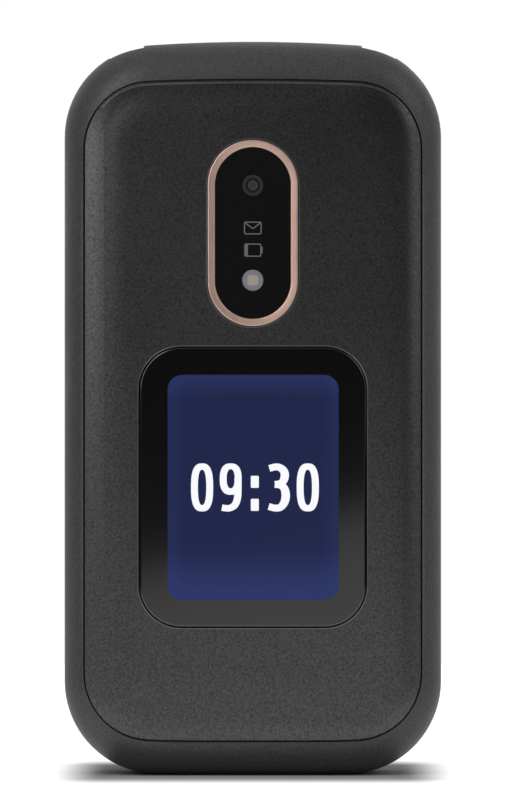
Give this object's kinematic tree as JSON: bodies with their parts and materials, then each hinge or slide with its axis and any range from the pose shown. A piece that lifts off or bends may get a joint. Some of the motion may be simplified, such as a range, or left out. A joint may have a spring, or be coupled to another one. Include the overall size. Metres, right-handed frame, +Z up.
{
  "type": "flip phone",
  "caption": "Clamshell mobile phone with an outer display, camera trim, sprung keypad and friction-held lid.",
  "frame": {"origin": "middle of the foot that the closed phone stands on, half way through its thickness", "axes": "+X to the right as the outer display is seen, +Y from the lid to the base's back, +Z up towards the hinge"},
  "size_m": [0.056, 0.0202, 0.109],
  "materials": {
    "graphite_shell": "fine-grained soft-touch graphite",
    "graphite_panel": "matte graphite with a fine sparkle grain",
    "window_glass": "polished black window",
    "rose_metal": "satin rose-gold anodised",
    "camera_black": "polished black",
    "flash_lens": "milky lens",
    "light_guide": "clear moulded guide",
    "display": "display glass",
    "display_lens": "hard-coated clear lens",
    "key_plastic": "satin black keys",
    "key_call": "satin black, green legend",
    "key_end": "satin black, red legend",
    "mat_rubber": "translucent silicone",
    "board_green": "solder mask",
    "tin_plate": "tin-plated steel",
    "screw_steel": "black-zinc steel",
    "hinge_steel": "ground steel",
    "battery_wrap": "grey foil wrap",
    "black_resin": "moulded black resin",
    "gold_contact": "gold-plated",
    "bumper_rubber": "soft rubber",
    "magnet_steel": "nickel-plated"
  },
  "bodies": {
    "base": {"base_front_cover": "graphite_shell", "base_rear_housing": "graphite_shell", "keypad_mat": "mat_rubber", "main_board": "board_green", "board_shields": "tin_plate", "sim_socket": "tin_plate", "battery": "battery_wrap", "battery_contacts": "gold_contact", "usb_port": "tin_plate", "headset_jack": "black_resin", "loudspeaker": "black_resin", "microphone": "tin_plate", "vibration_motor": "tin_plate", "antenna": "black_resin", "charging_contacts": "gold_contact", "base_screws": "screw_steel", "side_key_switch": "black_resin", "hinge_shaft": "hinge_steel", "hinge_pin": "hinge_steel"},
    "lid": {"lid_outer_shell": "graphite_shell", "lid_front_panel": "graphite_panel", "outer_display_window": "window_glass", "outer_display_module": "display", "camera_trim_ring": "rose_metal", "camera_window": "camera_black", "camera_module": "camera_black", "flash_led": "flash_lens", "indicator_light_guide": "light_guide", "lid_board": "board_green", "lid_inner_cover": "graphite_shell", "main_display_lens": "display_lens", "main_display_module": "display", "earpiece": "black_resin", "earpiece_grille": "screw_steel", "lid_screws": "screw_steel", "lid_bumpers": "bumper_rubber", "lid_magnet": "magnet_steel", "hinge_cartridge": "hinge_steel"},
    "battery_door": {"battery_cover": "graphite_shell"},
    "volume": {"volume_rocker": "key_plastic"},
    "navigation": {"navigation_rocker": "key_plastic"},
    "press_star": {"key_star": "key_plastic"},
    "press_0": {"key_0": "key_plastic"},
    "press_hash": {"key_hash": "key_plastic"},
    "press_7": {"key_7": "key_plastic"},
    "press_8": {"key_8": "key_plastic"},
    "press_9": {"key_9": "key_plastic"},
    "press_4": {"key_4": "key_plastic"},
    "press_5": {"key_5": "key_plastic"},
    "press_6": {"key_6": "key_plastic"},
    "press_1": {"key_1": "key_plastic"},
    "press_2": {"key_2": "key_plastic"},
    "press_3": {"key_3": "key_plastic"},
    "press_soft_left": {"key_soft_left": "key_plastic"},
    "press_soft_right": {"key_soft_right": "key_plastic"},
    "press_camera": {"key_camera": "key_plastic"},
    "press_message": {"key_message": "key_plastic"},
    "press_call": {"key_call": "key_call"},
    "press_end": {"key_end": "key_end"}
  },
  "joints": [
    {"name": "lid_hinge", "type": "hinge", "parent": "base", "child": "lid", "pos_m": [0, -0.004, 0.103], "axis": [-1, 0, 0], "range_deg": [0, 160]},
    {"name": "battery_cover_release", "type": "slide", "parent": "base", "child": "battery_door", "axis": [0, 1, 0], "range_m": [0, 0.025]},
    {"name": "volume_rock", "type": "hinge", "parent": "base", "child": "volume", "pos_m": [-0.0264, 0.0037, 0.077], "axis": [0, 1, 0], "range_deg": [-1.5, 1.5], "stiffness_Nm_per_rad": 0.3},
    {"name": "navigation_rock", "type": "hinge", "parent": "base", "child": "navigation", "pos_m": [0, 0.0016, 0.0644], "axis": [1, 0, 0], "range_deg": [-1.8, 1.8], "stiffness_Nm_per_rad": 0.4},
    {"name": "key_star_press", "type": "slide", "parent": "base", "child": "press_star", "axis": [0, 1, 0], "range_m": [0, 0.00035], "stiffness_N_per_m": 1500, "springref_m": -0.0008},
    {"name": "key_0_press", "type": "slide", "parent": "base", "child": "press_0", "axis": [0, 1, 0], "range_m": [0, 0.00035], "stiffness_N_per_m": 1500, "springref_m": -0.0008},
    {"name": "key_hash_press", "type": "slide", "parent": "base", "child": "press_hash", "axis": [0, 1, 0], "range_m": [0, 0.00035], "stiffness_N_per_m": 1500, "springref_m": -0.0008},
    {"name": "key_7_press", "type": "slide", "parent": "base", "child": "press_7", "axis": [0, 1, 0], "range_m": [0, 0.00035], "stiffness_N_per_m": 1500, "springref_m": -0.0008},
    {"name": "key_8_press", "type": "slide", "parent": "base", "child": "press_8", "axis": [0, 1, 0], "range_m": [0, 0.00035], "stiffness_N_per_m": 1500, "springref_m": -0.0008},
    {"name": "key_9_press", "type": "slide", "parent": "base", "child": "press_9", "axis": [0, 1, 0], "range_m": [0, 0.00035], "stiffness_N_per_m": 1500, "springref_m": -0.0008},
    {"name": "key_4_press", "type": "slide", "parent": "base", "child": "press_4", "axis": [0, 1, 0], "range_m": [0, 0.00035], "stiffness_N_per_m": 1500, "springref_m": -0.0008},
    {"name": "key_5_press", "type": "slide", "parent": "base", "child": "press_5", "axis": [0, 1, 0], "range_m": [0, 0.00035], "stiffness_N_per_m": 1500, "springref_m": -0.0008},
    {"name": "key_6_press", "type": "slide", "parent": "base", "child": "press_6", "axis": [0, 1, 0], "range_m": [0, 0.00035], "stiffness_N_per_m": 1500, "springref_m": -0.0008},
    {"name": "key_1_press", "type": "slide", "parent": "base", "child": "press_1", "axis": [0, 1, 0], "range_m": [0, 0.00035], "stiffness_N_per_m": 1500, "springref_m": -0.0008},
    {"name": "key_2_press", "type": "slide", "parent": "base", "child": "press_2", "axis": [0, 1, 0], "range_m": [0, 0.00035], "stiffness_N_per_m": 1500, "springref_m": -0.0008},
    {"name": "key_3_press", "type": "slide", "parent": "base", "child": "press_3", "axis": [0, 1, 0], "range_m": [0, 0.00035], "stiffness_N_per_m": 1500, "springref_m": -0.0008},
    {"name": "key_soft_left_press", "type": "slide", "parent": "base", "child": "press_soft_left", "axis": [0, 1, 0], "range_m": [0, 0.00035], "stiffness_N_per_m": 1500, "springref_m": -0.0008},
    {"name": "key_soft_right_press", "type": "slide", "parent": "base", "child": "press_soft_right", "axis": [0, 1, 0], "range_m": [0, 0.00035], "stiffness_N_per_m": 1500, "springref_m": -0.0008},
    {"name": "key_camera_press", "type": "slide", "parent": "base", "child": "press_camera", "axis": [0, 1, 0], "range_m": [0, 0.00035], "stiffness_N_per_m": 1500, "springref_m": -0.0008},
    {"name": "key_message_press", "type": "slide", "parent": "base", "child": "press_message", "axis": [0, 1, 0], "range_m": [0, 0.00035], "stiffness_N_per_m": 1500, "springref_m": -0.0008},
    {"name": "key_call_press", "type": "slide", "parent": "base", "child": "press_call", "axis": [0, 1, 0], "range_m": [0, 0.00035], "stiffness_N_per_m": 1500, "springref_m": -0.0008},
    {"name": "key_end_press", "type": "slide", "parent": "base", "child": "press_end", "axis": [0, 1, 0], "range_m": [0, 0.00035], "stiffness_N_per_m": 1500, "springref_m": -0.0008}
  ]
}
